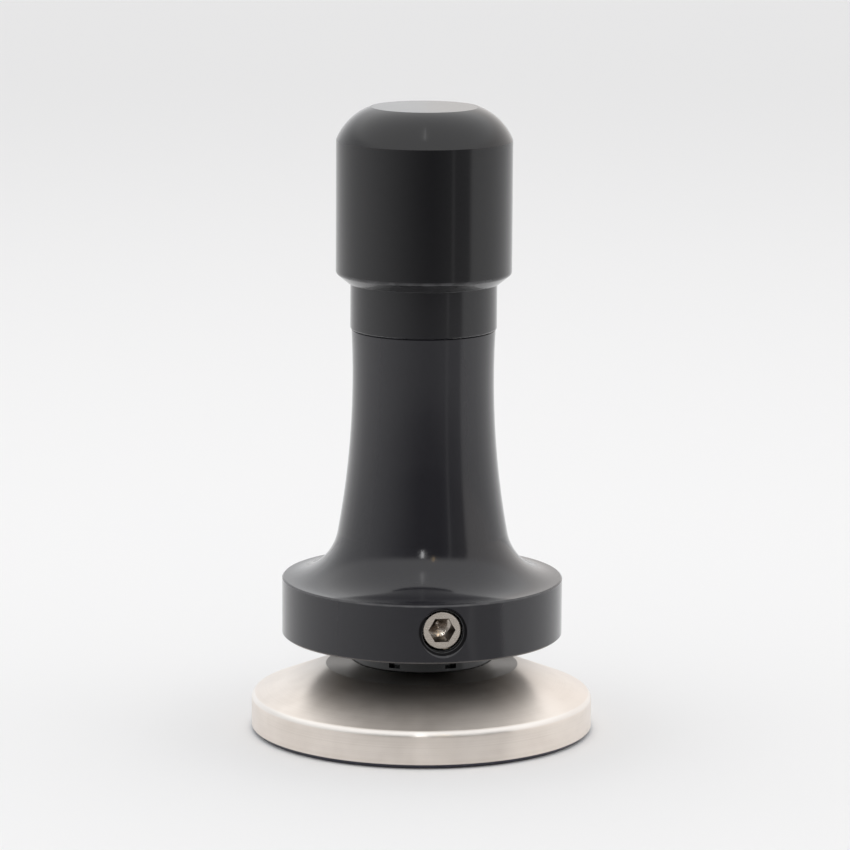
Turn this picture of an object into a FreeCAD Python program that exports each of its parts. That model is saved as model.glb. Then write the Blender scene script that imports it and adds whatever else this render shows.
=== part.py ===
import FreeCAD, Part
import math
import os
import re
import Sketcher

# Spring-loaded espresso tamper. It stands on its tamping face: the origin is the centre of that face,
# +Z is up and the grub screw in the flange points to -Y. Every size is in millimetres.

doc = FreeCAD.newDocument("tamper")

driving = {
    # Heights that stack up from the tamping face to the top of the cap
    "baseHeight": (11.3, "tamping base, foot to hub"),
    "pressStroke": (1.0, "travel of the handle over the stem"),
    "strokeMargin": (0.05, "space left under the guide nut at full stroke"),
    "collarHeight": (4.4, "guide nut collar below the flange"),
    "bellHeight": (52.9, "bell body, flange underside to top"),
    "neckHeight": (7.95, "neck sleeve that shows under the cap"),
    "capHeight": (29.8, "cap, bottom edge to flat top"),
    # Tamping base
    "baseDiameter": (58.5, "tamping face"),
    "rimHeight": (6.15, "cylindrical rim of the base"),
    "hubDiameter": (33.0, "flat on top of the base"),
    "rimRound": (1.2, "round at the top of the rim"),
    "rimBreak": (0.75, "broken edge at the foot of the rim"),
    "studDiameter": (6.0, "thread that holds the base"),
    "studLength": (7.5, "thread below the stem's foot"),
    "tappingDepth": (8.5, "hole in the base"),
    "sealWire": (1.2, "section of the base seal"),
    # Stem, its bearing and its stop
    "stemDiameter": (10.0, "sliding shaft"),
    "slideGap": (0.03, "radial clearance of the shaft in its bush"),
    "bushWall": (0.96, "wall of the guide bush"),
    "pressGap": (0.01, "radial allowance of a piece that doesn't move"),
    "headThickness": (4.0, "stem head under the spring"),
    "headGap": (0.35, "radial clearance of the head in the spring bore"),
    "rodDiameter": (8.0, "guide rod above the head"),
    "rodMargin": (1.2, "space above the rod at the lowest setting"),
    "pinDiameter": (2.0, "anti-rotation pin"),
    "pinDepth": (5.0, "pin inside the guide nut"),
    "pinWall": (0.4, "metal between pin and bush"),
    "pinGap": (0.2, "clearance between pin and spring bore"),
    "notchGap": (0.05, "clearance between pin and notch"),
    "pinRelief": (0.1, "pin end below the top of the head"),
    "stopThickness": (1.0, "stop washer"),
    "wiperWire": (1.4, "section of the stem wiper"),
    "wiperLevel": (1.4, "centre of the wiper above the collar's underside"),
    # Bell body
    "spigotWall": (1.4, "body thread to spring bore"),
    "throatWall": (2.03, "body thread to the narrowest outside"),
    "throatHeight": (44.85, "narrowest place above the flange underside"),
    "sweepRadius": (150.0, "long outside curve"),
    "flangeDiameter": (48.0, "levelling flange"),
    "flangeThickness": (9.95, "levelling flange"),
    "flangeEdge": (0.25, "bevel on the flange"),
    "jointEdge": (0.2, "bevels at the joint with the neck sleeve"),
    "threadGap": (0.05, "radial clearance of every thread"),
    # Guide nut
    "collarLip": (2.5, "collar outside the body thread"),
    "nutThread": (10.3, "threaded length in the body"),
    "bushSeat": (2.75, "foot of the bush above the collar's underside"),
    "shaftGap": (0.2, "clearance of the shaft below the bush"),
    "slotCount": (8.0, "spanner slots"),
    "slotWidth": (2.0, "spanner slots"),
    "slotDepth": (1.3, "spanner slots, towards the axis"),
    "slotFloor": (0.7, "lip left under the slots"),
    "slotClock": (14.5, "turn of the slots from the grub screw, in degrees"),
    # Neck sleeve
    "sleeveLip": (2.45, "sleeve outside the body thread"),
    "sleeveDepth": (8.1, "threaded spigot in the body"),
    "sleeveOverlap": (8.4, "sleeve inside the cap"),
    "shelfHeight": (1.9, "stop shelf above the joint with the body"),
    "ringWire": (1.8, "section of the friction ring"),
    "ringLevel": (2.05, "centre of the friction ring below the sleeve's top"),
    "ringSqueeze": (0.05, "clearance between friction ring and cap"),
    # Cap
    "capGap": (0.1, "radial clearance of the cap over the sleeve"),
    "capWall": (2.39, "skirt of the cap"),
    "capLand": (0.4, "flat at the foot of the skirt"),
    "capBevel": (1.6, "height of the bevel at the foot of the skirt"),
    "capBevelRound": (0.8, "round above the bevel"),
    "domeHeight": (5.6, "rounded shoulder"),
    "domeWidth": (5.85, "rounded shoulder"),
    "domeRadius": (9.65, "rounded shoulder"),
    "capMargin": (0.5, "space above the sleeve at the lowest setting"),
    # Preload screw and what it pushes
    "adjustThread": (14.0, "adjusting screw"),
    "riseTravel": (2.0, "travel of the knob upwards"),
    "dropTravel": (5.0, "travel of the knob downwards"),
    "stopGap": (0.05, "space left at the circlip's stop"),
    "circlipThickness": (1.0, "screw circlip"),
    "circlipWidth": (2.0, "screw circlip, radial"),
    "circlipGroove": (0.75, "groove for the circlip"),
    "circlipMouth": (4.0, "opening of the circlip"),
    "circlipLand": (1.45, "screw end below the circlip"),
    "seatThickness": (2.5, "spring seat"),
    "seatGap": (0.07, "radial clearance of the seat in the spring bore"),
    "rodGap": (0.05, "radial clearance of the guide rod in the seat"),
    "thrustThickness": (1.0, "thrust washer"),
    "thrustWidth": (3.1, "thrust washer, radial"),
    "boreGap": (0.2, "clearance of the guide rod in the adjusting screw"),
    "boreRoof": (5.5, "metal above that bore, below the shoulder"),
    "spigotDiameter": (10.0, "adjusting screw inside the cap"),
    "spigotLength": (6.0, "adjusting screw inside the cap"),
    "capScrewThread": (4.0, "cap screw"),
    "capScrewGrip": (5.0, "cap screw in the cap"),
    "capScrewHead": (7.0, "cap screw head"),
    "capScrewKey": (3.0, "cap screw hex, across flats"),
    "capScrewGap": (0.25, "clearance of the cap screw in the adjusting screw"),
    # Spring
    "springWire": (2.2, "spring wire"),
    "springGap": (0.75, "clearance between spring and bore"),
    "springPitch": (3.7, "spring, turn to turn"),
    "springGrind": (0.6, "ground off each end"),
    "pilotHeight": (2.0, "bosses that centre the spring"),
    "pilotGap": (0.15, "clearance of the bosses in the spring"),
    # Grub screw and its pad
    "lockThread": (8.0, "grub screw"),
    "lockRecess": (2.0, "grub screw's face inside the flange"),
    "lockRaise": (0.3, "grub screw above the middle of the flange"),
    "lockBevel": (0.85, "bevel on the grub screw's face"),
    "lockKey": (4.0, "grub screw hex, across flats"),
    "lockKeyDepth": (4.2, "grub screw hex"),
    "mouthDepth": (0.3, "countersink of the screw hole"),
    "padDiameter": (5.9, "lock pad"),
    "padLength": (2.85, "lock pad"),
    "padGap": (0.05, "space between the pad and the guide nut"),
    "padSeat": (0.1, "end of the wide hole below the screw's inner end"),
    "edgeBreak": (0.3, "small bevels on turned pieces"),
    "ringBreak": (0.15, "small bevels on rings and washers"),
}

derived = {
    # Radii, from the shaft outwards
    "bushBore": "stemDiameter / 2 + slideGap",
    "bushRadius": "bushBore + bushWall",
    "bushHole": "bushRadius + pressGap",
    "pinCircle": "bushHole + pinWall + pinDiameter / 2",
    "springBore": "pinCircle + pinDiameter / 2 + pinGap",
    "threadRadius": "springBore + spigotWall",
    "throatRadius": "threadRadius + throatWall",
    "collarRadius": "threadRadius + collarLip",
    "sleeveRadius": "threadRadius + sleeveLip",
    "capBore": "sleeveRadius + capGap",
    "capRadius": "capBore + capWall",
    "flangeRadius": "flangeDiameter / 2",
    "headRadius": "springBore - headGap",
    "springOuter": "springBore - springGap",
    "springMean": "springOuter - springWire / 2",
    "pilotRadius": "springMean - springWire / 2 - pilotGap",
    "seatBore": "rodDiameter / 2 + rodGap",
    "screwRadius": "adjustThread / 2 - threadGap",
    "screwBore": "rodDiameter / 2 + boreGap",
    "circlipInner": "screwRadius - circlipGroove",
    "sealHole": "studDiameter / 2 + sealWire + 2 * threadGap",
    # Levels, from the tamping face up
    "sealFloor": "baseHeight - sealWire - threadGap",
    "collarLevel": "baseHeight + pressStroke + strokeMargin",
    "flangeLevel": "collarLevel + collarHeight",
    "lockLevel": "flangeLevel + flangeThickness / 2 + lockRaise",
    "stopLevel": "flangeLevel + nutThread",
    "headLevel": "stopLevel + stopThickness",
    "springLevel": "headLevel + headThickness",
    "jointLevel": "flangeLevel + bellHeight",
    "capLevel": "jointLevel + neckHeight",
    "shelfLevel": "jointLevel + shelfHeight",
    "circlipLevel": "shelfLevel - riseTravel - stopGap - circlipThickness",
    "screwLevel": "circlipLevel - circlipLand",
    "thrustLevel": "screwLevel - thrustThickness",
    "seatLevel": "thrustLevel - seatThickness",
    "shoulderLevel": "capLevel + capCavity",
    "roofLevel": "shoulderLevel - boreRoof",
    "rodLevel": "roofLevel - capScrewThread - dropTravel - pressStroke - rodMargin",
    # Lengths that follow from the pieces around them
    "springLength": "seatLevel - springLevel",
    "capCavity": "sleeveOverlap + dropTravel + capMargin",
    "screwLength": "shoulderLevel - screwLevel",
    "lockInner": "threadRadius + padGap + padLength",
    "lockLength": "flangeRadius - lockRecess - lockInner",
}

sheet = doc.addObject("Spreadsheet::Sheet", "sizes")
for row, (alias, (size, note)) in enumerate(driving.items(), 1):
    sheet.set(f"A{row}", note)
    sheet.set(f"B{row}", str(size))
    sheet.setAlias(f"B{row}", alias)
doc.recompute()


# Writes out the derived names in a formula until only cells of the sheet are left.
def formula(text):
    def expand(match):
        word = match.group(0)
        if word in derived:
            return "(" + formula(derived[word]) + ")"
        if word in driving:
            return "sizes." + word
        return word
    return re.sub(r"[A-Za-z]\w*", expand, text)


def value(text):
    return float(sheet.evalExpression(formula(text)))


def bind(item, place, text):
    item.setExpression(place, formula(text))


def newBody(label, level="0"):
    body = doc.addObject("PartDesign::Body", label)
    body.Label = label
    bind(body, "Placement.Base.z", level)
    return body


def newSketch(body, name, plane="XZ_Plane"):
    sketch = body.newObject("Sketcher::SketchObject", name)
    origin = [item for item in body.Origin.OriginFeatures if item.Role == plane][0]
    sketch.AttachmentSupport = [(origin, "")]
    sketch.MapMode = "FlatFace"
    return sketch


# The circle arc from start to end that turns left (+1) or right (-1), always listed anticlockwise.
def arcBetween(start, end, radius, turn):
    across = end - start
    half = across.Length / 2
    side = FreeCAD.Vector(-across.y, across.x, 0).normalize() * turn
    centre = start + across / 2 + side * math.sqrt(radius * radius - half * half)
    first, last = (start, end) if turn > 0 else (end, start)
    angles = [math.atan2(point.y - centre.y, point.x - centre.x) for point in (first, last)]
    circle = Part.Circle(centre, FreeCAD.Vector(0, 0, 1), radius)
    return Part.ArcOfCircle(circle, angles[0], angles[1])


# Holds one coordinate of a sketch point on a formula; zero puts the point on the sketch's axis.
def fixPoint(sketch, curve, end, kind, text):
    if text == "0":
        axis = -2 if kind == "DistanceX" else -1
        sketch.addConstraint(Sketcher.Constraint("PointOnObject", curve, end, axis))
        return
    index = sketch.addConstraint(Sketcher.Constraint(kind, curve, end, value(text)))
    bind(sketch, f"Constraints[{index}]", text)


# Closed outline through corners (x, y). A corner (x, y, radius, turn) starts an arc to the next corner.
# Formulas are bound; plain numbers are starting points that a smooth corner's tangency moves.
def outline(sketch, corners, smooth=()):
    points = [FreeCAD.Vector(*[value(c) if isinstance(c, str) else c for c in corner[:2]], 0)
              for corner in corners]
    count = len(corners)
    curves = []
    for index, corner in enumerate(corners):
        start, end = points[index], points[(index + 1) % count]
        if len(corner) == 2:
            curves.append((sketch.addGeometry(Part.LineSegment(start, end), False), 1, 2))
            continue
        radius = value(corner[2]) if isinstance(corner[2], str) else corner[2]
        arc = sketch.addGeometry(arcBetween(start, end, radius, corner[3]), False)
        curves.append((arc, 1, 2) if corner[3] > 0 else (arc, 2, 1))
        if isinstance(corner[2], str):
            limit = sketch.addConstraint(Sketcher.Constraint("Radius", arc, radius))
            bind(sketch, f"Constraints[{limit}]", corner[2])
    for index in range(count):
        before, here = curves[index - 1], curves[index]
        kind = "Tangent" if index in smooth else "Coincident"
        sketch.addConstraint(Sketcher.Constraint(kind, before[0], before[2], here[0], here[1]))
    for (curve, end, _), corner in zip(curves, corners):
        for kind, text in zip(("DistanceX", "DistanceY"), corner[:2]):
            if isinstance(text, str):
                fixPoint(sketch, curve, end, kind, text)
    return curves


def circle(sketch, x, y, radius):
    centre = FreeCAD.Vector(value(x), value(y), 0)
    ring = sketch.addGeometry(Part.Circle(centre, FreeCAD.Vector(0, 0, 1), value(radius)), False)
    fixPoint(sketch, ring, 3, "DistanceX", x)
    fixPoint(sketch, ring, 3, "DistanceY", y)
    limit = sketch.addConstraint(Sketcher.Constraint("Radius", ring, value(radius)))
    bind(sketch, f"Constraints[{limit}]", radius)


# Turns a closed sketch right round one of its own axes: "Revolution" adds metal, "Groove" cuts it away.
def spin(body, kind, sketch, axis="V_Axis"):
    feature = body.newObject("PartDesign::" + kind, sketch.Name + kind)
    feature.Profile = sketch
    feature.ReferenceAxis = (sketch, [axis])
    feature.Angle = 360
    doc.recompute()
    return feature


def revolve(body, corners):
    sketch = newSketch(body, "Turning")
    outline(sketch, corners)
    return spin(body, "Revolution", sketch)


# A pad or pocket of the given length; up is the way the cut or the boss grows along the sketch normal.
def extrude(body, kind, sketch, length, up=True):
    feature = body.newObject("PartDesign::" + kind, sketch.Name + kind)
    feature.Profile = sketch
    bind(feature, "Length", length)
    feature.Reversed = up if kind == "Pocket" else not up
    doc.recompute()
    return feature


def raiseSketch(sketch, level):
    bind(sketch, "AttachmentOffset.Base.z", level)


def hexagon(sketch, flats):
    side = f"{flats} / (2 * sqrt(3))"
    outline(sketch, [(f"2 * {side}", "0"), (side, f"{flats} / 2"), (f"-{side}", f"{flats} / 2"),
                     (f"-2 * {side}", "0"), (f"-{side}", f"-{flats} / 2"), (side, f"-{flats} / 2")])


# Names of the circular edges of one radius at one level.
def rim(feature, radius, level):
    names = []
    for number, edge in enumerate(feature.Shape.Edges, 1):
        curve = edge.Curve
        if not isinstance(curve, Part.Circle):
            continue
        if abs(curve.Radius - value(radius)) < 1e-4 and abs(curve.Center.z - value(level)) < 1e-4:
            names.append(f"Edge{number}")
    return names


def dress(body, kind, base, edges, size):
    feature = body.newObject("PartDesign::" + kind, kind)
    feature.Base = (base, edges)
    bind(feature, "Radius" if kind == "Fillet" else "Size", size)
    doc.recompute()
    return feature


def tampingBase():
    body = newBody("tamping_base")
    turning = revolve(body, [
        ("0", "0"), ("baseDiameter / 2", "0"), ("baseDiameter / 2", "rimHeight"),
        ("hubDiameter / 2", "baseHeight"), ("sealHole", "baseHeight"), ("sealHole", "sealFloor"),
        ("studDiameter / 2", "sealFloor"), ("studDiameter / 2", "baseHeight - tappingDepth"),
        ("0", "baseHeight - tappingDepth - studDiameter / 4")])
    edges = rim(turning, "baseDiameter / 2", "rimHeight")
    rounded = dress(body, "Fillet", turning, edges, "rimRound")
    dress(body, "Chamfer", rounded, rim(rounded, "baseDiameter / 2", "0"), "rimBreak")
    return body


def stem():
    body = newBody("stem", "baseHeight - studLength")
    stud = "studDiameter / 2 - threadGap"
    head = "headLevel - baseHeight + studLength"
    top = "rodLevel - baseHeight + studLength"
    pilot = "pilotRadius"
    revolve(body, [
        ("0", "0"), (f"{stud} - edgeBreak", "0"), (stud, "edgeBreak"), (stud, "studLength"),
        ("stemDiameter / 2", "studLength"), ("stemDiameter / 2", head), ("headRadius", head),
        ("headRadius", f"{head} + headThickness"), (pilot, f"{head} + headThickness"),
        (pilot, f"{head} + headThickness + pilotHeight"),
        ("rodDiameter / 2", f"{head} + headThickness + pilotHeight"),
        ("rodDiameter / 2", f"{top} - edgeBreak"), ("rodDiameter / 2 - edgeBreak", top), ("0", top)])
    half = "pinDiameter / 2 + notchGap"
    notch = newSketch(body, "Notch", "XY_Plane")
    raiseSketch(notch, head)
    curves = outline(notch, [
        (f"-({half})", "pinCircle", value(half), 1), (half, "pinCircle"),
        (half, "springBore + pinGap"), (f"-({half})", "springBore + pinGap")])
    fixPoint(notch, curves[0][0], 3, "DistanceY", "pinCircle")
    extrude(body, "Pocket", notch, "headThickness")
    return body


def oRing(label, radius, wire, level):
    ring = doc.addObject("Part::Torus", label)
    ring.Label = label
    bind(ring, "Radius1", radius)
    bind(ring, "Radius2", f"{wire} / 2")
    bind(ring, "Placement.Base.z", level)
    return ring


def mainSpring():
    body = newBody("main_spring", "springLevel")
    section = newSketch(body, "Wire")
    circle(section, "springMean", "springWire / 2 - springGrind", "springWire / 2")
    coil = body.newObject("PartDesign::AdditiveHelix", "Coil")
    coil.Profile = section
    coil.ReferenceAxis = (section, ["V_Axis"])
    coil.Mode = "pitch-height-angle"
    bind(coil, "Pitch", "springPitch")
    bind(coil, "Height", "springLength - springWire + 2 * springGrind")
    doc.recompute()
    inner = "springMean - springWire"
    outer = "springMean + springWire"
    ends = (("Foot", "0 - springWire", "0"), ("Top", "springLength", "springLength + springWire"))
    for name, foot, top in ends:
        band = newSketch(body, name)
        outline(band, [(inner, foot), (outer, foot), (outer, top), (inner, top)])
        spin(body, "Groove", band)
    return body


def bellBody():
    body = newBody("bell_body", "flangeLevel")
    sweep = value("sweepRadius")
    reach = value("throatRadius + sweepRadius - flangeRadius + flangeEdge")
    drop = value("throatHeight - flangeThickness")
    flare = (sweep * sweep - reach * reach - drop * drop) / (2 * (sweep - drop))
    sweepCentre = FreeCAD.Vector(value("throatRadius") + sweep, value("throatHeight"), 0)
    flareCentre = FreeCAD.Vector(value("flangeRadius - flangeEdge"), value("flangeThickness") + flare, 0)
    meet = flareCentre + (flareCentre - sweepCentre).normalize() * flare
    topRadius = "throatRadius + sweepRadius - sqrt(pow(sweepRadius; 2) - pow(bellHeight - throatHeight; 2))"
    sketch = newSketch(body, "BellOutline")
    curves = outline(sketch, [
        ("threadRadius", "0"), ("flangeRadius - flangeEdge", "0"), ("flangeRadius", "flangeEdge"),
        ("flangeRadius", "flangeThickness - flangeEdge"),
        ("flangeRadius - flangeEdge", "flangeThickness", flare, -1), (meet.x, meet.y, "sweepRadius", -1),
        (topRadius, "bellHeight"), ("threadRadius", "bellHeight"),
        ("threadRadius", "bellHeight - sleeveDepth"), ("springBore", "bellHeight - sleeveDepth"),
        ("springBore", "nutThread + stopThickness"), ("threadRadius", "nutThread + stopThickness")],
        smooth=(5,))
    flareArc, sweepArc = curves[4], curves[5]
    sketch.addConstraint(Sketcher.Constraint("Vertical", flareArc[0], 3, flareArc[0], flareArc[1]))
    fixPoint(sketch, sweepArc[0], 3, "DistanceY", "throatHeight")
    turning = spin(body, "Revolution", sketch)
    dress(body, "Chamfer", turning, rim(turning, topRadius, "bellHeight"), "jointEdge")
    screwHole(body)
    return body


# Stepped radial hole for the grub screw and its pad, with a countersunk mouth.
def screwHole(body):
    sketch = newSketch(body, "ScrewHoleOutline", "YZ_Plane")
    bind(sketch, "AttachmentOffset.Base.y", "flangeThickness / 2 + lockRaise")
    pad = "padDiameter / 2 + threadGap"
    wide = "lockThread / 2"
    step = "0 - (lockInner - padSeat)"
    mouth = "0 - (flangeRadius - mouthDepth)"
    outside = f"0 - (flangeRadius + {wide})"
    outline(sketch, [
        ("0", "0"), ("0", pad), (step, pad), (step, wide), (mouth, wide),
        (outside, f"{wide} + mouthDepth + {wide}"), (outside, "0")])
    spin(body, "Groove", sketch, "H_Axis")


def guideNut():
    body = newBody("guide_nut", "collarLevel")
    spigot = "threadRadius - threadGap"
    top = "collarHeight + nutThread"
    shaft = "stemDiameter / 2 + shaftGap"
    groove = "stemDiameter / 2 + wiperWire + 2 * threadGap"
    revolve(body, [
        (shaft, "0"), ("collarRadius - edgeBreak", "0"), ("collarRadius", "edgeBreak"),
        ("collarRadius", "collarHeight"), (spigot, "collarHeight"), (spigot, top), ("bushHole", top),
        ("bushHole", "bushSeat"), (shaft, "bushSeat"), (shaft, "wiperLevel + wiperWire / 2 + threadGap"),
        (groove, "wiperLevel + wiperWire / 2 + threadGap"),
        (groove, "wiperLevel - wiperWire / 2 - threadGap"),
        (shaft, "wiperLevel - wiperWire / 2 - threadGap")])
    pin = newSketch(body, "PinHole", "XY_Plane")
    raiseSketch(pin, f"{top} - pinDepth")
    circle(pin, "0", "pinCircle", "pinDiameter / 2 + pressGap")
    extrude(body, "Pocket", pin, "pinDepth")
    slot = newSketch(body, "Slot", "XY_Plane")
    raiseSketch(slot, "slotFloor")
    bind(slot, "AttachmentOffset.Rotation.Angle", "slotClock")
    slot.AttachmentOffset.Rotation.Axis = FreeCAD.Vector(0, 0, 1)
    half = "slotWidth / 2"
    floor = "0 - (collarRadius - slotDepth)"
    outside = "0 - (collarRadius + slotDepth)"
    outline(slot, [(f"-{half}", outside), (half, outside), (half, floor), (f"-{half}", floor)])
    cut = extrude(body, "Pocket", slot, "collarHeight - slotFloor")
    ring = body.newObject("PartDesign::PolarPattern", "Slots")
    ring.Originals = [cut]
    ring.Axis = (slot, ["N_Axis"])
    ring.Angle = 360
    bind(ring, "Occurrences", "slotCount")
    body.Tip = ring
    doc.recompute()
    return body


# A plain turned ring between two radii, with an optional bevel on its outer edges.
def turnedRing(label, level, inner, outer, height):
    body = newBody(label, level)
    revolve(body, [
        (inner, "0"), (f"{outer} - ringBreak", "0"), (outer, "ringBreak"), (outer, f"{height} - ringBreak"),
        (f"{outer} - ringBreak", height), (inner, height)])
    return body


def stopWasher():
    body = turnedRing("stop_washer", "stopLevel", "stemDiameter / 2 + boreGap", "threadRadius - threadGap",
                      "stopThickness")
    hole = newSketch(body, "PinHole", "XY_Plane")
    circle(hole, "0", "pinCircle", "pinDiameter / 2 + pressGap")
    extrude(body, "Pocket", hole, "stopThickness")
    return body


def antiRotationPin():
    pin = doc.addObject("Part::Cylinder", "anti_rotation_pin")
    pin.Label = "anti_rotation_pin"
    bind(pin, "Radius", "pinDiameter / 2")
    bind(pin, "Height", "pinDepth + stopThickness + headThickness - pinRelief")
    bind(pin, "Placement.Base.y", "pinCircle")
    bind(pin, "Placement.Base.z", "stopLevel - pinDepth")
    return pin


def neckSleeve():
    body = newBody("neck_sleeve", "jointLevel - sleeveDepth")
    spigot = "threadRadius - threadGap"
    joint = "sleeveDepth"
    shelf = "sleeveDepth + shelfHeight"
    top = "sleeveDepth + neckHeight + sleeveOverlap"
    groove = "sleeveRadius - ringWire"
    upper = f"{top} - ringLevel + ringWire / 2 + ringSqueeze"
    lower = f"{top} - ringLevel - ringWire / 2 - ringSqueeze"
    revolve(body, [
        ("springBore", "0"), (spigot, "0"), (spigot, joint), ("sleeveRadius - jointEdge", joint),
        ("sleeveRadius", f"{joint} + jointEdge"), ("sleeveRadius", lower), (groove, lower), (groove, upper),
        ("sleeveRadius", upper), ("sleeveRadius", f"{top} - edgeBreak"), ("sleeveRadius - edgeBreak", top),
        ("adjustThread / 2", top), ("adjustThread / 2", shelf), ("springBore", shelf)])
    return body


def springSeat():
    body = newBody("spring_seat", "seatLevel - pilotHeight")
    outer = "springBore - seatGap"
    top = "pilotHeight + seatThickness"
    revolve(body, [
        ("seatBore", "0"), ("pilotRadius", "0"), ("pilotRadius", "pilotHeight"), (outer, "pilotHeight"),
        (outer, f"{top} - edgeBreak"), (f"{outer} - edgeBreak", top), ("seatBore", top)])
    return body


def adjustingScrew():
    body = newBody("adjusting_screw", "screwLevel")
    groove = "circlipLand"
    shoulder = "screwLength"
    roof = "roofLevel - screwLevel"
    hole = "capScrewThread / 2 + capScrewGap"
    revolve(body, [
        ("screwBore", "0"), ("screwRadius - edgeBreak", "0"), ("screwRadius", "edgeBreak"),
        ("screwRadius", groove), ("circlipInner", groove),
        ("circlipInner", f"{groove} + circlipThickness"), ("screwRadius", f"{groove} + circlipThickness"),
        ("screwRadius", shoulder), ("spigotDiameter / 2", shoulder),
        ("spigotDiameter / 2", f"{shoulder} + spigotLength"), (hole, f"{shoulder} + spigotLength"),
        (hole, roof), ("screwBore", roof)])
    return body


def screwCirclip():
    body = newBody("screw_circlip", "circlipLevel")
    ring = newSketch(body, "Ring", "XY_Plane")
    circle(ring, "0", "0", "circlipInner + pressGap")
    circle(ring, "0", "0", "circlipInner + circlipWidth")
    extrude(body, "Pad", ring, "circlipThickness")
    mouth = newSketch(body, "Mouth", "XY_Plane")
    half = "circlipMouth / 2"
    outline(mouth, [(f"-{half}", "0"), (half, "0"), (half, "springBore"), (f"-{half}", "springBore")])
    extrude(body, "Pocket", mouth, "circlipThickness")
    return body


def cap():
    body = newBody("cap", "capLevel")
    spigot = "spigotDiameter / 2 + pressGap"
    recess = "capCavity + spigotLength"
    thread = "capScrewThread / 2"
    tip = f"{recess} + capScrewGrip + capScrewThread / 4"
    shoulder = "capHeight - domeHeight"
    turning = revolve(body, [
        ("capBore", "0"), ("capBore + capLand", "0"), ("capRadius", "capBevel"),
        ("capRadius", shoulder, "domeRadius", 1), ("capRadius - domeWidth", "capHeight"),
        ("0", "capHeight"), ("0", tip), (thread, tip), (thread, recess), (spigot, recess),
        (spigot, "capCavity"), ("capBore", "capCavity")])
    dress(body, "Fillet", turning, rim(turning, "capRadius", "capBevel"), "capBevelRound")
    return body


def capScrew():
    head = "capScrewThread"
    body = newBody("cap_screw", f"roofLevel - {head}")
    shank = "capScrewThread / 2 - pressGap"
    tip = f"{head} + boreRoof + spigotLength + capScrewGrip"
    outer = "capScrewHead / 2"
    revolve(body, [
        ("0", "0"), (f"{outer} - edgeBreak", "0"), (outer, "edgeBreak"), (outer, head), (shank, head),
        (shank, f"{tip} - edgeBreak"), (f"{shank} - edgeBreak", tip), ("0", tip)])
    key = newSketch(body, "Key", "XY_Plane")
    hexagon(key, "capScrewKey")
    extrude(body, "Pocket", key, f"{head} / 2")
    return body


# Turns a piece that is modelled upright so that its top points out of the flange towards -Y.
def layRadially(body, distance):
    body.Placement.Rotation = FreeCAD.Rotation(FreeCAD.Vector(1, 0, 0), 90)
    bind(body, "Placement.Base.y", f"0 - ({distance})")
    bind(body, "Placement.Base.z", "lockLevel")


def lockPad():
    pad = doc.addObject("Part::Cylinder", "lock_pad")
    pad.Label = "lock_pad"
    bind(pad, "Radius", "padDiameter / 2")
    bind(pad, "Height", "padLength")
    layRadially(pad, "threadRadius + padGap")
    return pad


def lockScrew():
    body = newBody("lock_screw")
    layRadially(body, "lockInner")
    outer = "lockThread / 2 - threadGap"
    face = "lockLength"
    drill = "lockKey / 2"
    floor = f"{face} - lockKeyDepth"
    revolve(body, [
        ("0", "0"), (f"{outer} - edgeBreak", "0"), (outer, "edgeBreak"), (outer, f"{face} - lockBevel"),
        (f"{outer} - lockBevel", face), (drill, face), (drill, floor), ("0", f"{floor} - lockKey / 4")])
    key = newSketch(body, "Key", "XY_Plane")
    raiseSketch(key, floor)
    hexagon(key, "lockKey")
    extrude(body, "Pocket", key, "lockKeyDepth")
    return body


pieces = [
    tampingBase(), stem(),
    oRing("base_seal", "studDiameter / 2 + sealWire / 2 + threadGap", "sealWire",
          "baseHeight - sealWire / 2"),
    mainSpring(), bellBody(), guideNut(),
    turnedRing("guide_bush", "collarLevel + bushSeat", "bushBore", "bushRadius",
               "collarHeight + nutThread - bushSeat"),
    oRing("stem_wiper", "stemDiameter / 2 + wiperWire / 2 + threadGap", "wiperWire",
          "collarLevel + wiperLevel"),
    stopWasher(), antiRotationPin(), neckSleeve(),
    oRing("friction_ring", "capBore - ringSqueeze - ringWire / 2", "ringWire",
          "capLevel + sleeveOverlap - ringLevel"),
    springSeat(),
    turnedRing("thrust_washer", "thrustLevel", "screwBore", "screwBore + thrustWidth", "thrustThickness"),
    adjustingScrew(), screwCirclip(), cap(), capScrew(), lockPad(), lockScrew(),
]
doc.recompute()

for item in doc.Objects:
    if "Invalid" in item.State or "Error" in item.State:
        raise RuntimeError(f"{item.Name} failed: {item.State}")
for piece in pieces:
    shape = piece.Shape
    if shape.isNull() or not shape.isValid() or len(shape.Solids) != 1:
        raise RuntimeError(f"{piece.Label} is not one valid solid")

os.makedirs("parts", exist_ok=True)
for piece in pieces:
    piece.Shape.exportStep(f"parts/{piece.Label}.step")
    print(f"{piece.Label}: {piece.Shape.Volume:.0f} mm3")
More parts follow.
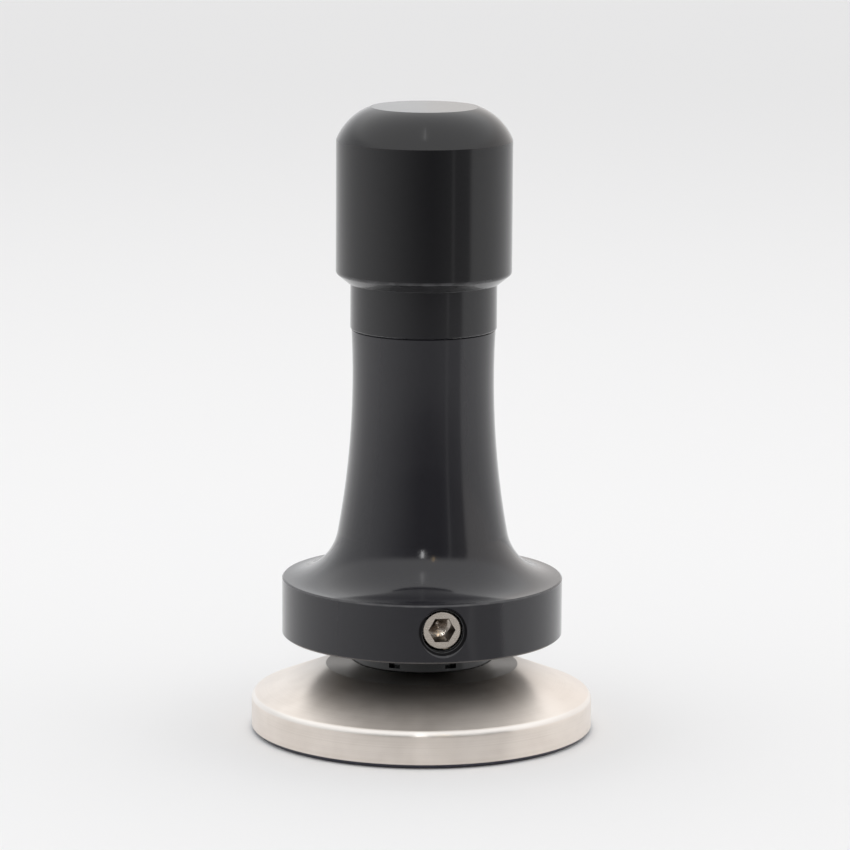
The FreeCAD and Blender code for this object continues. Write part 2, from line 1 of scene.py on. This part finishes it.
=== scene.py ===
import math
import bmesh
import bpy
from mathutils import Matrix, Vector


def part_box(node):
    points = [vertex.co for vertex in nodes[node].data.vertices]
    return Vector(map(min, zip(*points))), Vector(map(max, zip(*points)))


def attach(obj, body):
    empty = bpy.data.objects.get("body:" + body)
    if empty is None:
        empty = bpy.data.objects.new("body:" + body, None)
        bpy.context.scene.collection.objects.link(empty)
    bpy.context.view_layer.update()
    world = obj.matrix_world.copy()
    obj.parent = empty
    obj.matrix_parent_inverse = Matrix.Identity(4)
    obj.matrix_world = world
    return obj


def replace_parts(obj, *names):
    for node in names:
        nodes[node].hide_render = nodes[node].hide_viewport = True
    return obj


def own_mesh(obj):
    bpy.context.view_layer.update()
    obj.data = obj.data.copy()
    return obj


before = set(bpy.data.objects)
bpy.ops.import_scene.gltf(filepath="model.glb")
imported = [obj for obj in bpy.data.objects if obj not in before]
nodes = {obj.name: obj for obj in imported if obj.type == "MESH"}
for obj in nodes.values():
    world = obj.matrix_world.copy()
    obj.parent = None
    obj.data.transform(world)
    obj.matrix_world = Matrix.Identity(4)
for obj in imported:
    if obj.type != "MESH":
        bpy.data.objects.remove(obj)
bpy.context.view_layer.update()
mm = 0.001
mergeDistance = 0.001 * mm
cutDistance = 0.0001 * mm


# A socket that can be used in sums: each operator adds the Math node that it stands for.
class Wire:
    def __init__(self, graph, socket):
        self.graph = graph
        self.socket = socket

    def math(self, operation, *values):
        return self.graph.make("ShaderNodeMath", {"operation": operation}, dict(enumerate(values)))

    def __add__(self, other):
        return self.math("ADD", self, other)

    def __radd__(self, other):
        return self.math("ADD", other, self)

    def __sub__(self, other):
        return self.math("SUBTRACT", self, other)

    def __rsub__(self, other):
        return self.math("SUBTRACT", other, self)

    def __mul__(self, other):
        return self.math("MULTIPLY", self, other)

    def __rmul__(self, other):
        return self.math("MULTIPLY", other, self)

    def __truediv__(self, other):
        return self.math("DIVIDE", self, other)

    def __pow__(self, other):
        return self.math("POWER", self, other)

    def __abs__(self):
        return self.math("ABSOLUTE", self)

    def atLeast(self, other):
        return self.math("MAXIMUM", self, other)

    def atMost(self, other):
        return self.math("MINIMUM", self, other)

    def angleFrom(self, other):
        return self.math("ARCTAN2", self, other)


# One node tree: a material, the world or a geometry modifier.
class Graph:
    def __init__(self, tree):
        self.tree = tree

    def make(self, kind, settings=None, inputs=None, output=0):
        node = self.tree.nodes.new(kind)
        for name, value in (settings or {}).items():
            setattr(node, name, value)
        for name, value in (inputs or {}).items():
            if isinstance(value, Wire):
                self.tree.links.new(value.socket, node.inputs[name])
            else:
                node.inputs[name].default_value = value
        return Wire(self, node.outputs[output]) if len(node.outputs) else node

    # Smooth step between two edges: 0 below the first and 1 past the second.
    def step(self, value, low, high):
        return self.make("ShaderNodeMapRange", {"interpolation_type": "SMOOTHSTEP"},
                         {"Value": value, "From Min": low, "From Max": high})

    def mix(self, factor, first, second):
        return self.make("ShaderNodeMix", {"data_type": "RGBA"}, {0: factor, 6: first, 7: second}, 2)

    def noise(self, vector, scale, detail=2.0, rough=0.5, dimensions="3D"):
        return self.make("ShaderNodeTexNoise", {"noise_dimensions": dimensions},
                         {"Vector": vector, "Scale": scale, "Detail": detail, "Roughness": rough})

    # The point being shaded, in the object's own coordinates.
    def place(self):
        return self.make("ShaderNodeTexCoord", output="Object")

    def parts(self, vector):
        split = self.make("ShaderNodeSeparateXYZ", None, {0: vector})
        return [Wire(self, socket) for socket in split.socket.node.outputs]

    def vector(self, x, y, z):
        return self.make("ShaderNodeCombineXYZ", None, {"X": x, "Y": y, "Z": z})

    def bump(self, height, depth, strength=0.5):
        return self.make("ShaderNodeBump", None,
                         {"Strength": strength, "Distance": depth, "Height": height})

    def finish(self, inputs):
        shader = self.make("ShaderNodeBsdfPrincipled", None, inputs)
        self.make("ShaderNodeOutputMaterial", None, {"Surface": shader})


def newMaterial(name):
    material = bpy.data.materials.new(name)
    material.use_nodes = True
    material.node_tree.nodes.clear()
    return material, Graph(material.node_tree)


def grey(level):
    return (level, level, level, 1)


def toned(colour, tone):
    return tuple(channel * tone for channel in colour[:3]) + (1,)


def distance(first, second):
    return (first * first + second * second) ** 0.5


# Place on a turned piece: the point itself, its distance from the axis and its height.
def turnedPlace(graph):
    place = graph.place()
    x, y, z = graph.parts(place)
    return place, distance(x, y), z


# Lathe marks: noise over axis distance and height, so that every mark runs round the axis.
def latheMarks(graph, radius, height, pitch, detail=3.0):
    return graph.noise(graph.vector(radius, height, 0.0), 1 / pitch, detail, rough=0.6, dimensions="2D")


anodise = {
    "colour": (0.0074, 0.0072, 0.0094, 1),
    "faded": (0.0100, 0.0098, 0.0115, 1),
    "bareAndHighlight": (0.15, 0.15, 0.155, 1),
    "roughness": 0.15,
    "unevenness": 0.05,
    "wornRoughness": 0.12,
    "gloss": 0.25,
    "glossRoughness": 0.045,
    "ior": 1.48,
    "markPitch": 0.18 * mm,
    "markDepth": 0.0022 * mm,
    "cloudScale": 90.0,
    "dustScale": 900.0,
    "patchScale": 420.0,
    "patchEdges": (0.42, 0.66),
    "patchLeast": 0.35,
    "dustHeight": 0.15,
    "fullWearAndHighlight": 0.2,
    "wearAndHighlightLevel": 0.35,
}


# Black anodised aluminium; edges lists (axis distance, height, width) of the rings where it wears and is
# painted with edge highlights.
def anodisedBlack(name, edges, tone):
    look = anodise
    material, graph = newMaterial(name)
    place, radius, z = turnedPlace(graph)
    marks = latheMarks(graph, radius, z, look["markPitch"])
    cloud = graph.noise(place, look["cloudScale"], detail=3.0)
    dust = graph.noise(place, look["dustScale"])
    patches = graph.step(graph.noise(place, look["patchScale"], detail=4.0), *look["patchEdges"])
    wearAndHighlight = 0.0
    # Rings at the edges are lightened towards bare metal: wear and painted edge highlights.
    for edgeRadius, edgeHeight, width in edges:
        away = distance(radius - edgeRadius, z - edgeHeight)
        wearAndHighlight = (1 - graph.step(away, look["fullWearAndHighlight"] * width, width)).atLeast(wearAndHighlight)
    wearAndHighlight = wearAndHighlight * (look["patchLeast"] + patches * (1 - look["patchLeast"])) * look["wearAndHighlightLevel"]
    colour = graph.mix(cloud, toned(look["colour"], tone), toned(look["faded"], tone))
    colour = graph.mix(wearAndHighlight, colour, look["bareAndHighlight"])
    rough = look["roughness"] + (marks - 0.5 + cloud - 0.5) * look["unevenness"]
    graph.finish({"Base Color": colour, "Roughness": rough + wearAndHighlight * look["wornRoughness"],
                  "IOR": look["ior"], "Coat Weight": (1 - wearAndHighlight) * look["gloss"],
                  "Coat Roughness": look["glossRoughness"],
                  "Normal": graph.bump(marks + dust * look["dustHeight"], look["markDepth"])})
    return material


steel = {
    "colour": (0.88, 0.81, 0.745, 1),
    "shade": (0.77, 0.70, 0.635, 1),
    "roughness": 0.33,
    "spread": 0.85,
    "markPitch": 0.10 * mm,
    "markDepth": 0.0024 * mm,
}
turning = {
    "coarsePitch": 6,
    "coarseHeight": 0.6,
    "cloudScale": 60.0,
    "smudgeScale": 230.0,
    "scratchScale": 700.0,
    "scratchEdges": (0.62, 0.72),
    "markTone": 0.3,
    "cloudTone": 0.35,
    "smudgeTone": 0.35,
    "shadeEdges": (0.3, 0.62),
    "markRoughness": 0.10,
    "cloudRoughness": 0.06,
    "scratchRoughness": 0.04,
    "spreadTurn": 0.25,
}
plainShared = {"spread": 0.4, "markPitch": 0.14 * mm, "markDepth": 0.006 * mm}
plainLooks = {
    "bright steel": {"colour": (1.0, 0.91, 0.81, 1), "shade": (0.82, 0.73, 0.63, 1), "roughness": 0.26},
    # The socket steel is painted dark: painted shade on the hex socket's walls.
    "shaded socket steel": {"colour": (0.16, 0.13, 0.11, 1), "shade": (0.08, 0.07, 0.06, 1), "roughness": 0.3},
    "dark steel": {"colour": (0.24, 0.24, 0.26, 1), "shade": (0.14, 0.14, 0.15, 1), "roughness": 0.35},
    "spring steel": {"colour": (0.5, 0.5, 0.52, 1), "shade": (0.36, 0.36, 0.38, 1), "roughness": 0.32},
    "turned bronze": {"colour": (0.72, 0.48, 0.22, 1), "shade": (0.55, 0.36, 0.16, 1), "roughness": 0.3},
}
# Painted zones on the base: painted shade at the foot, on the inner cone and on the hub, and a painted
# highlight on the upper edge.
baseZones = {
    "foot": {"colour": (0.10, 0.10, 0.125, 1), "height": 0.72 * mm, "radius": 28.45 * mm, "soft": 0.12 * mm},
    "shadeUnderFlange": {"colour": (0.40, 0.37, 0.34, 1), "radii": (13.4 * mm, 25.0 * mm), "heights": (1 * mm, 2 * mm)},
    "hub": {"colour": (0.28, 0.265, 0.25, 1), "radii": (16.4 * mm, 16.55 * mm), "roughness": 0.14},
    "edge": {"colour": (0.91, 0.87, 0.83, 1), "radius": 28.9 * mm, "height": 5.95 * mm,
             "reach": (0.3 * mm, 0.6 * mm)},
}


# The base's painted zones: painted shade along the foot chamfer, painted shade on the inner cone under the
# flange, painted shade on the hub under the collar, and a painted highlight along the upper edge.
def zoned(graph, radius, z, colour, rough):
    foot, shadeUnderFlange, hub, edge = baseZones["foot"], baseZones["shadeUnderFlange"], baseZones["hub"], baseZones["edge"]
    # Foot band: painted shade, a dark line along the bottom chamfer standing for the contact shadow.
    low = 1 - graph.step(z, foot["height"], foot["height"] + foot["soft"])
    low = low * graph.step(radius, foot["radius"], foot["radius"] + foot["soft"])
    colour = graph.mix(low, colour, foot["colour"])
    # Inner cone: painted shade, darker towards the hub where the flange overhangs it.
    inner = (1 - graph.step(radius, *shadeUnderFlange["radii"])) * graph.step(z, *shadeUnderFlange["heights"])
    colour = graph.mix(inner, colour, shadeUnderFlange["colour"])
    # Hub flat: painted shade under the collar, darker and rougher than the cone.
    inside = 1 - graph.step(radius, *hub["radii"])
    colour = graph.mix(inside, colour, hub["colour"])
    # Upper edge: painted highlight, a lighter line along the rim's top edge.
    away = distance(radius - edge["radius"], z - edge["height"])
    colour = graph.mix(1 - graph.step(away, *edge["reach"]), colour, edge["colour"])
    return colour, rough + inside * hub["roughness"]


# Fine-turned metal. The marks run round the axis, so reflections spread along the radius.
def turnedSteel(name, look, isBase=False):
    material, graph = newMaterial(name)
    place, radius, z = turnedPlace(graph)
    fine = latheMarks(graph, radius, z, look["markPitch"])
    coarse = latheMarks(graph, radius, z, look["markPitch"] * turning["coarsePitch"], detail=1.0)
    cloud = graph.noise(place, turning["cloudScale"], detail=3.0)
    smudge = graph.noise(place, turning["smudgeScale"])
    grazes = graph.noise(place, turning["scratchScale"], detail=5.0, rough=0.7)
    scratch = graph.step(grazes, *turning["scratchEdges"])
    tone = fine * turning["markTone"] + cloud * turning["cloudTone"] + smudge * turning["smudgeTone"]
    colour = graph.mix(graph.step(tone, *turning["shadeEdges"]), look["shade"], look["colour"])
    rough = look["roughness"] + (fine - 0.5) * turning["markRoughness"]
    rough = rough + (cloud - 0.5) * turning["cloudRoughness"] + scratch * turning["scratchRoughness"]
    if isBase:
        colour, rough = zoned(graph, radius, z, colour, rough)
    graph.finish({"Base Color": colour, "Roughness": rough, "Metallic": 1.0,
                  "Anisotropic": look["spread"], "Anisotropic Rotation": turning["spreadTurn"],
                  "Normal": graph.bump(fine + coarse * turning["coarseHeight"], look["markDepth"])})
    return material


def plainMetal(name):
    return turnedSteel(name, {**plainShared, **plainLooks[name]})


rubberLook = {
    "colour": (0.012, 0.012, 0.013, 1),
    "bloom": (0.035, 0.035, 0.036, 1),
    "roughness": 0.5,
    "bloomRoughness": 0.25,
    "bloomScale": 500.0,
    "grainScale": 4000.0,
    "grainDepth": 0.02 * mm,
    "grainStrength": 0.4,
}


def sealRubber(name):
    look = rubberLook
    material, graph = newMaterial(name)
    place = graph.place()
    bloom = graph.noise(place, look["bloomScale"], detail=4.0)
    grain = graph.noise(place, look["grainScale"])
    graph.finish({"Base Color": graph.mix(bloom, look["colour"], look["bloom"]),
                  "Roughness": look["roughness"] + bloom * look["bloomRoughness"],
                  "Normal": graph.bump(grain, look["grainDepth"], look["grainStrength"])})
    return material


def paint(node, material):
    mesh = nodes[node].data
    mesh.materials.clear()
    mesh.materials.append(material)


capLow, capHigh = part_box("cap")
bodyLow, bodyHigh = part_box("bell_body")
nutLow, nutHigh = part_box("guide_nut")
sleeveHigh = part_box("neck_sleeve")[1]
screwLow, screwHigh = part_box("lock_screw")
screwHeight = (screwLow.z + screwHigh.z) / 2

# Where the black pieces wear and take painted edge highlights, from their own edges, and how light each one
# is.
blackPieces = {
    "lipHeight": 1.6 * mm,
    "lipInset": 1.9 * mm,
    "topInset": 5.9 * mm,
    "flangeHeight": 9.9 * mm,
    "capTone": 0.7,
    "sleeveTone": 1.0,
    "bodyTone": 2.0,
    # The nut's tone is painted shade: the nut is darkened for the flange's shadow over it.
    "nutShadeTone": 0.4,
}
capRings = [
    (capHigh.x, capLow.z + blackPieces["lipHeight"], 0.5 * mm),
    (capHigh.x - blackPieces["lipInset"], capLow.z, 0.3 * mm),
    (capHigh.x - blackPieces["topInset"], capHigh.z, 0.35 * mm),
]
bodyRings = [
    (bodyHigh.x, bodyLow.z + blackPieces["flangeHeight"], 0.4 * mm),
    (bodyHigh.x, bodyLow.z, 0.45 * mm),
]
sleeveRings = [(sleeveHigh.x, bodyHigh.z, 0.3 * mm)]
nutRings = [(nutHigh.x, nutLow.z, 0.4 * mm)]

baseSteel = turnedSteel("base steel", steel, True)
bright = plainMetal("bright steel")
dark = plainMetal("dark steel")
spring = plainMetal("spring steel")
bronze = plainMetal("turned bronze")
rubber = sealRubber("seal rubber")
finishes = {
    "cap": anodisedBlack("cap black", capRings, blackPieces["capTone"]),
    "neck_sleeve": anodisedBlack("sleeve black", sleeveRings, blackPieces["sleeveTone"]),
    "bell_body": anodisedBlack("body black", bodyRings, blackPieces["bodyTone"]),
    "guide_nut": anodisedBlack("nut black", nutRings, blackPieces["nutShadeTone"]),
    "tamping_base": baseSteel, "stem": baseSteel, "stop_washer": bright, "spring_seat": bright,
    "anti_rotation_pin": dark, "cap_screw": dark, "main_spring": spring, "screw_circlip": spring,
    "guide_bush": bronze, "thrust_washer": bronze, "adjusting_screw": bronze, "lock_pad": bronze,
    "base_seal": rubber, "stem_wiper": rubber, "friction_ring": rubber,
}
for node, material in finishes.items():
    paint(node, material)
print("finishes done")


grubThread = {
    "pitch": 1.25 * mm,
    "core": 3.35 * mm,
    "faceRadius": 3.12 * mm,
    "faceDepth": 0.05 * mm,
    "socketRadius": 2.4 * mm,
    "socketTilt": 0.5,
    "sharpAngle": math.radians(30),
    "outerRidge": 0.60 * mm,
    "outerRadius": 3.33 * mm,
    "innerRidge": 0.42 * mm,
    "innerRadius": 3.98 * mm,
    "runOut": 0.4,
    "thinnest": 0.05,
    "stepsPerTurn": 60,
    "sectionCorners": 4,
    "mouth": 23.55 * mm,
    "foot": 12.78 * mm,
    "screwStart": 0.5,
    "screwEnd": 0.8 * mm,
    "holeShadeTone": 0.4,
    "holeRoughness": 0.5,
    "holeIor": 1.25,
    "crestRoughness": 0.2,
    "crestLeast": 0.4,
    "crestGrain": 0.8,
    "crestWidth": 0.10 * mm,
    "grainScale": 2500.0,
    "grainDepth": 0.01 * mm,
}


# Geometry tree for a helical ridge of diamond section that fades out at both ends.
def ridgeTree():
    tree = bpy.data.node_groups.new("thread ridge", "GeometryNodeTree")
    tree.interface.new_socket("Geometry", in_out="OUTPUT", socket_type="NodeSocketGeometry")
    for name in ("Turns", "Pitch", "Radius", "Ridge", "Run-out"):
        tree.interface.new_socket(name, in_out="INPUT", socket_type="NodeSocketFloat")
    tree.interface.new_socket("Finish", in_out="INPUT", socket_type="NodeSocketMaterial")
    graph = Graph(tree)

    def given(name):
        return graph.make("NodeGroupInput", output=name)

    path = graph.make("GeometryNodeCurveSpiral", None, {
        "Resolution": grubThread["stepsPerTurn"], "Rotations": given("Turns"),
        "Start Radius": given("Radius"), "End Radius": given("Radius"),
        "Height": given("Turns") * given("Pitch")})
    path = graph.make("GeometryNodeSetCurveNormal", {"mode": "Z_UP"}, {"Curve": path})
    along = graph.make("GeometryNodeSplineParameter", output="Factor") * given("Turns")
    fade = along.atMost(given("Turns") - along) / given("Run-out")
    fade = fade.atMost(1.0).atLeast(grubThread["thinnest"])
    path = graph.make("GeometryNodeSetCurveRadius", None, {"Curve": path, "Radius": fade})
    section = graph.make("GeometryNodeCurvePrimitiveCircle", None,
                         {"Resolution": grubThread["sectionCorners"], "Radius": given("Ridge")})
    ridge = graph.make("GeometryNodeCurveToMesh", None,
                       {"Curve": path, "Profile Curve": section, "Fill Caps": True})
    ridge = graph.make("GeometryNodeSetShadeSmooth", None, {0: ridge, "Shade Smooth": False})
    ridge = graph.make("GeometryNodeSetMaterial", None, {"Geometry": ridge, "Material": given("Finish")})
    ridge = graph.make("GeometryNodeRealizeInstances", None, {"Geometry": ridge})
    graph.make("NodeGroupOutput", None, {"Geometry": ridge})
    return tree


# Runs a geometry tree with the given inputs and returns the plain mesh that it makes.
def grow(tree, values):
    holder = bpy.data.objects.new("holder", bpy.data.meshes.new("holder"))
    bpy.context.scene.collection.objects.link(holder)
    modifier = holder.modifiers.new("grow", "NODES")
    modifier.node_group = tree
    for item in tree.interface.items_tree:
        if item.name in values:
            modifier[item.identifier] = values[item.name]
    ready = holder.evaluated_get(bpy.context.evaluated_depsgraph_get())
    mesh = bpy.data.meshes.new_from_object(ready)
    bpy.data.objects.remove(holder)
    return mesh


# A copy of a node's mesh to work on, with its doubled vertices merged.
def mergedCopy(node):
    shape = bmesh.new()
    shape.from_mesh(nodes[node].data)
    bmesh.ops.remove_doubles(shape, verts=shape.verts, dist=mergeDistance)
    return shape


def meshOf(shape, name, materials):
    mesh = bpy.data.meshes.new(name)
    for material in materials:
        mesh.materials.append(material)
    shape.to_mesh(mesh)
    shape.free()
    return mesh


def addPiece(name, mesh, body):
    piece = bpy.data.objects.new(name, mesh)
    bpy.context.scene.collection.objects.link(piece)
    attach(piece, body)
    return piece


# The hole's thread in black anodised metal: painted darker than the anodise as painted shade inside the
# hole, and lighter along the crest as wear and a painted glint.
def threadBlack(name, crest):
    look = grubThread
    material, graph = newMaterial(name)
    place = graph.place()
    x, z = graph.parts(place)[::2]
    reach = distance(x, z - screwHeight)
    grain = graph.noise(place, look["grainScale"], detail=3.0)
    # Crest band: wear and a painted glint along the thread's crest.
    wearAndHighlight = 1 - graph.step(reach, crest, crest + look["crestWidth"])
    wearAndHighlight = wearAndHighlight * (look["crestLeast"] + grain * look["crestGrain"])
    colour = graph.mix(wearAndHighlight, toned(anodise["colour"], look["holeShadeTone"]), anodise["bareAndHighlight"])
    graph.finish({"Base Color": colour, "IOR": look["holeIor"],
                  "Roughness": look["holeRoughness"] - wearAndHighlight * look["crestRoughness"],
                  "Normal": graph.bump(grain, look["grainDepth"])})
    return material


# Puts a mesh grown along +Z on the grub screw's axis, from the given distance outwards.
def ontoScrewAxis(mesh, start):
    move = Matrix.Translation((0, -start, screwHeight))
    mesh.transform(move @ Matrix.Rotation(math.pi / 2, 4, "X"))
    return mesh


# The grub screw's own solid, turned down to the root of its thread.
def screwCore(*materials):
    look = grubThread
    shape = mergedCopy("lock_screw")
    for point in shape.verts:
        reach = math.hypot(point.co.x, point.co.z - screwHeight)
        onFace = point.co.y < screwLow.y + look["faceDepth"]
        limit = look["faceRadius"] if onFace else look["core"]
        if reach > limit:
            shrink = limit / reach
            point.co.x *= shrink
            point.co.z = screwHeight + (point.co.z - screwHeight) * shrink
    for face in shape.faces:
        face.smooth = True
        middle = face.calc_center_median()
        inSocket = math.hypot(middle.x, middle.z - screwHeight) < look["socketRadius"]
        # Socket walls take the dark socket steel: painted shade inside the hex socket.
        face.material_index = int(inSocket and abs(face.normal.y) < look["socketTilt"])
    for edge in shape.edges:
        edge.smooth = edge.calc_face_angle(0) < look["sharpAngle"]
    return meshOf(shape, "grub screw core", materials)


def joined(name, meshes):
    shape = bmesh.new()
    for mesh in meshes:
        shape.from_mesh(mesh)
    return meshOf(shape, name, meshes[0].materials)


# A thread ridge on the screw's axis; kind is "inner" for the hole's thread and "outer" for the screw's.
def threadRidge(tree, kind, start, end, finish):
    look = grubThread
    turns = (end - start) / look["pitch"]
    ridge = grow(tree, {"Turns": turns, "Pitch": look["pitch"], "Radius": look[kind + "Radius"],
                        "Ridge": look[kind + "Ridge"], "Run-out": look["runOut"], "Finish": finish})
    return ontoScrewAxis(ridge, start)


def addThreads():
    tree = ridgeTree()
    look = grubThread
    inside = threadBlack("thread black", look["innerRadius"] - look["innerRidge"])
    ridge = threadRidge(tree, "inner", look["foot"], look["mouth"], inside)
    addPiece("screw_hole_thread", ridge, "handle")
    start = look["foot"] + look["screwStart"] * look["pitch"]
    ridge = threadRidge(tree, "outer", start, -screwLow.y - look["screwEnd"], bright)
    mesh = joined("grub_screw", [screwCore(bright, plainMetal("shaded socket steel")), ridge])
    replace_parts(addPiece("grub_screw", mesh, "grub_screw"), "lock_screw")


addThreads()
print("threads done")

# The spring is cut in the middle: its foot rides on the base and its head on the handle.
springSet = {"stroke": 1.0 * mm, "preload": 5.0 * mm, "margin": 1.0 * mm}


# One half of the spring between two levels, closed where it is cut.
def springHalf(name, bottom, top):
    shape = mergedCopy("main_spring")
    for level, upwards in ((bottom, -1), (top, 1)):
        everything = shape.verts[:] + shape.edges[:] + shape.faces[:]
        cut = bmesh.ops.bisect_plane(shape, geom=everything, dist=cutDistance, clear_outer=True,
                                     plane_co=(0, 0, level), plane_no=(0, 0, upwards))
        rim = [item for item in cut["geom_cut"] if isinstance(item, bmesh.types.BMEdge)]
        rim = [edge for edge in rim if edge.is_boundary]
        if rim:
            bmesh.ops.edgeloop_fill(shape, edges=rim)
    for face in shape.faces:
        face.smooth = True
    bmesh.ops.recalc_face_normals(shape, faces=shape.faces)
    return meshOf(shape, name, [spring])


def addSpring():
    low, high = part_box("main_spring")
    middle = (low.z + high.z) / 2
    lowerMesh = springHalf("spring foot", low.z - springSet["margin"], middle)
    upperMesh = springHalf("spring head", middle, high.z + springSet["margin"])
    lower = addPiece("spring_foot", lowerMesh, "base")
    upper = addPiece("spring_head", upperMesh, "handle")
    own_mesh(lower)
    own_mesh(upper)
    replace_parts(lower, "main_spring")
    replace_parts(upper, "main_spring")


addSpring()
print("spring done")

studio = {
    "floorSize": 12.0,
    "floorHeight": -0.02 * mm,
    "floorNearLit": (0.885, 0.885, 0.89, 1),
    "floorFarDim": (0.75, 0.75, 0.755, 1),
    "floorFade": (0.03, 1.1),
    "floorRoughness": 0.9,
    "floorSpecular": 0.1,
    "clothHeight": 0.4 * mm,
    "clothCover": 0.62,
    "clothFar": 0.22,
    "clothFarFade": (0.35, 0.6),
    "clothNearFade": (0.045, 0.065),
    "frontLevel": 0.06,
    "leftLevel": 0.79,
    "rightLevel": 0.95,
    "backLevel": 0.97,
    "aboveLevel": 1.15,
    "leftFade": (-15.0, 95.0),
    "gap": 0.22,
    "gapFade": (5.0, 60.0),
    "panelFade": (57.0, 66.0),
    "slit": 0.5,
    "slitAzimuth": 38.0,
    "slitFade": (0.5, 4.0),
    "backFade": (110.0, 160.0),
    "aboveFade": (0.38, 0.58),
    "warmFade": (30.0, 60.0),
    "coolTint": (0.985, 0.99, 1, 1),
    "warmTint": (1, 0.97, 0.95, 1),
    "amberTint": (1, 0.72, 0.38, 1),
}

# Small lights: azimuth and half width in degrees, the heights where they fade in and out, and their level.
lamps = {
    "strip": {"azimuth": 0.0, "width": (1.0, 5.0), "low": (0.80, 0.92), "high": (1.1, 1.2), "level": 1.5},
    "lamp": {"azimuth": 0.0, "width": (1.2, 2.2), "low": (0.26, 0.30), "high": (0.44, 0.48), "level": 10.0},
    "amber": {"azimuth": 16.0, "width": (1.2, 2.2), "low": (0.40, 0.44), "high": (0.54, 0.58), "level": 3.0},
}

lens = {
    "azimuth": math.radians(-8.8),
    "distance": 0.7602,
    "height": 0.19289,
    "pitch": math.radians(10.434),
    "roll": math.radians(0.332),
    "side": 0.34 * mm,
    "length": 192.007,
    "sensor": 36.0,
    "clipStart": 0.05,
    "clipEnd": 50.0,
}


def addPlane(name, height, material):
    half = studio["floorSize"] / 2
    mesh = bpy.data.meshes.new(name)
    corners = [(-half, -half, height), (half, -half, height), (half, half, height), (-half, half, height)]
    mesh.from_pydata(corners, [], [(0, 1, 2, 3)])
    mesh.materials.append(material)
    plane = bpy.data.objects.new(name, mesh)
    bpy.context.scene.collection.objects.link(plane)
    return plane


# Azimuth of a direction in degrees: 0 towards the camera's side, growing to the camera's right.
def azimuthOf(x, y):
    return x.angleFrom(0 - y) * (180 / math.pi)


# How much light comes from an azimuth on the left and on the right: 0 in front, 1 at the sides.
def sideLight(graph, azimuth):
    left = graph.step(0 - azimuth, *studio["leftFade"])
    gap = graph.step(azimuth, *studio["gapFade"]) * studio["gap"]
    panel = graph.step(azimuth, *studio["panelFade"])
    slit = 1 - graph.step(abs(azimuth - studio["slitAzimuth"]), *studio["slitFade"])
    return left, gap.atLeast(panel).atLeast(slit * studio["slit"])


# The floor paper is painted lighter near the tamper and darker far away: a painted pool of light around the
# tamper.
def makeFloor():
    material, graph = newMaterial("floor paper")
    x, y = graph.parts(graph.place())[:2]
    away = graph.step(distance(x, y), *studio["floorFade"])
    graph.finish({"Base Color": graph.mix(away, studio["floorNearLit"], studio["floorFarDim"]),
                  "Roughness": studio["floorRoughness"],
                  "Specular IOR Level": studio["floorSpecular"]})
    addPlane("floor", studio["floorHeight"], material)


# A dark cloth just over the floor in front, seen only in reflections.
def makeCloth():
    material, graph = newMaterial("front cloth")
    x, y = graph.parts(graph.place())[:2]
    left, right = sideLight(graph, azimuthOf(x, y))
    away = distance(x, y)
    cover = studio["clothCover"] + graph.step(away, *studio["clothFarFade"]) * studio["clothFar"]
    cover = cover * (1 - left.atLeast(right)) * graph.step(away, *studio["clothNearFade"])
    cloth = graph.make("ShaderNodeBsdfDiffuse", None, {"Color": grey(0.0)})
    clear = graph.make("ShaderNodeBsdfTransparent")
    both = graph.make("ShaderNodeMixShader", None, {0: cover, 1: clear, 2: cloth})
    graph.make("ShaderNodeOutputMaterial", None, {"Surface": both})
    plane = addPlane("front cloth", studio["clothHeight"], material)
    plane.rotation_euler = (0, 0, lens["azimuth"])
    plane.visible_camera = False
    plane.visible_diffuse = False
    plane.visible_transmission = False
    plane.visible_shadow = False


def lampGlow(graph, azimuth, up, lamp):
    across = 1 - graph.step(abs(azimuth - lamp["azimuth"]), *lamp["width"])
    return across * graph.step(up, *lamp["low"]) * (1 - graph.step(up, *lamp["high"]))


# Soft white surroundings: a darker room in front, a bright panel on the right, light above, and the lamps.
def makeWorld():
    world = bpy.data.worlds.new("studio")
    bpy.context.scene.world = world
    world.use_nodes = True
    world.node_tree.nodes.clear()
    graph = Graph(world.node_tree)
    direction = graph.make("ShaderNodeTexCoord", output="Generated")
    direction = graph.make("ShaderNodeMapping", {"vector_type": "POINT"},
                           {"Vector": direction, "Rotation": (0, 0, -lens["azimuth"])})
    x, y, up = graph.parts(direction)
    azimuth = azimuthOf(x, y)
    left, right = sideLight(graph, azimuth)
    around = (left * studio["leftLevel"]).atLeast(right * studio["rightLevel"])
    around = around.atLeast(studio["frontLevel"])
    behind = graph.step(abs(azimuth), *studio["backFade"])
    around = around * (1 - behind) + behind * studio["backLevel"]
    above = graph.step(up, *studio["aboveFade"])
    level = around * (1 - above) + above * studio["aboveLevel"]
    glows = {name: lampGlow(graph, azimuth, up, lamp) for name, lamp in lamps.items()}
    for name, glow in glows.items():
        level = level + glow * lamps[name]["level"]
    colour = graph.mix(graph.step(azimuth, *studio["warmFade"]), studio["coolTint"], studio["warmTint"])
    colour = graph.mix(above, colour, grey(1.0))
    colour = graph.mix(glows["amber"], colour, studio["amberTint"])
    background = graph.make("ShaderNodeBackground", None, {"Color": colour, "Strength": level})
    graph.make("ShaderNodeOutputWorld", None, {"Surface": background})


def makeCamera():
    camera = bpy.data.objects.new("camera", bpy.data.cameras.new("camera"))
    bpy.context.scene.collection.objects.link(camera)
    camera.data.lens = lens["length"]
    camera.data.sensor_width = lens["sensor"]
    camera.data.clip_start = lens["clipStart"]
    camera.data.clip_end = lens["clipEnd"]
    turn = Matrix.Rotation(lens["azimuth"], 4, "Z")
    place = Matrix.Translation((lens["side"], -lens["distance"], lens["height"]))
    tilt = Matrix.Rotation(math.radians(90) - lens["pitch"], 4, "X")
    roll = Matrix.Rotation(lens["roll"], 4, "Z")
    camera.matrix_world = turn @ place @ tilt @ roll
    bpy.context.scene.camera = camera


makeFloor()
makeCloth()
makeWorld()
makeCamera()
bpy.context.scene.view_settings.view_transform = "Standard"
print("studio done")
